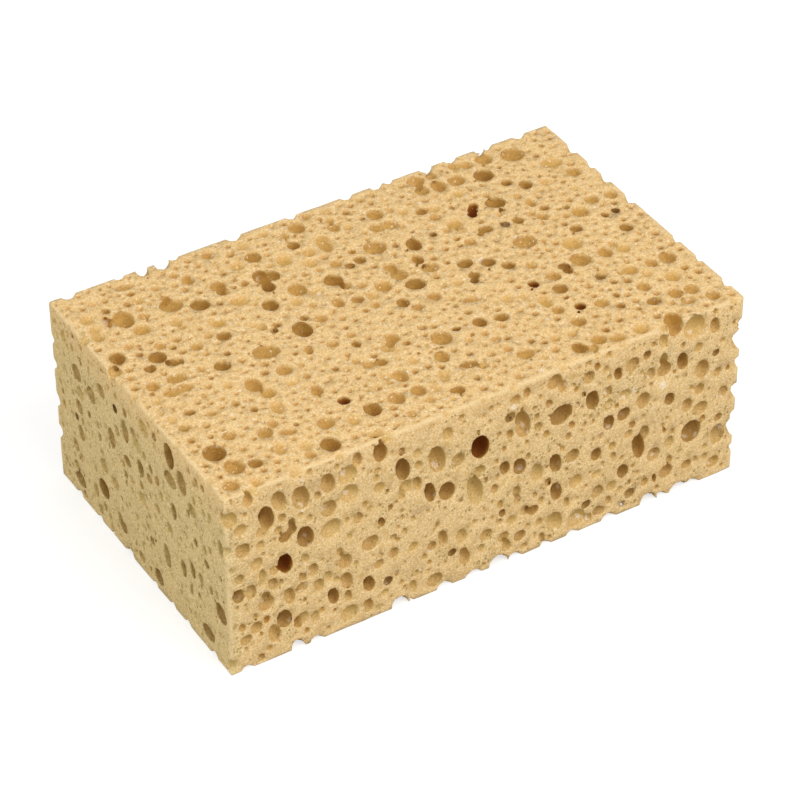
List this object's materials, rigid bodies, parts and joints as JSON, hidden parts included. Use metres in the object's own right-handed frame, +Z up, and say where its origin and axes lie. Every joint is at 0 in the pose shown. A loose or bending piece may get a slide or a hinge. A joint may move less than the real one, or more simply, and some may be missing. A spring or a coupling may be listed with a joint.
{
  "type": "cleaning sponge",
  "caption": "Rectangular block of sawn foam with large round open pores on every face, a cleaning sponge for wet washing.",
  "frame": {"origin": "middle of the flat face that the block rests on", "axes": "+X along the length, +Y across the width to the back, +Z up along the height"},
  "size_m": [0.2, 0.12, 0.075],
  "materials": {
    "foam": "soft open-pored polyurethane foam, sawn faces"
  },
  "bodies": {
    "root": {"sponge": "foam"}
  },
  "joints": []
}
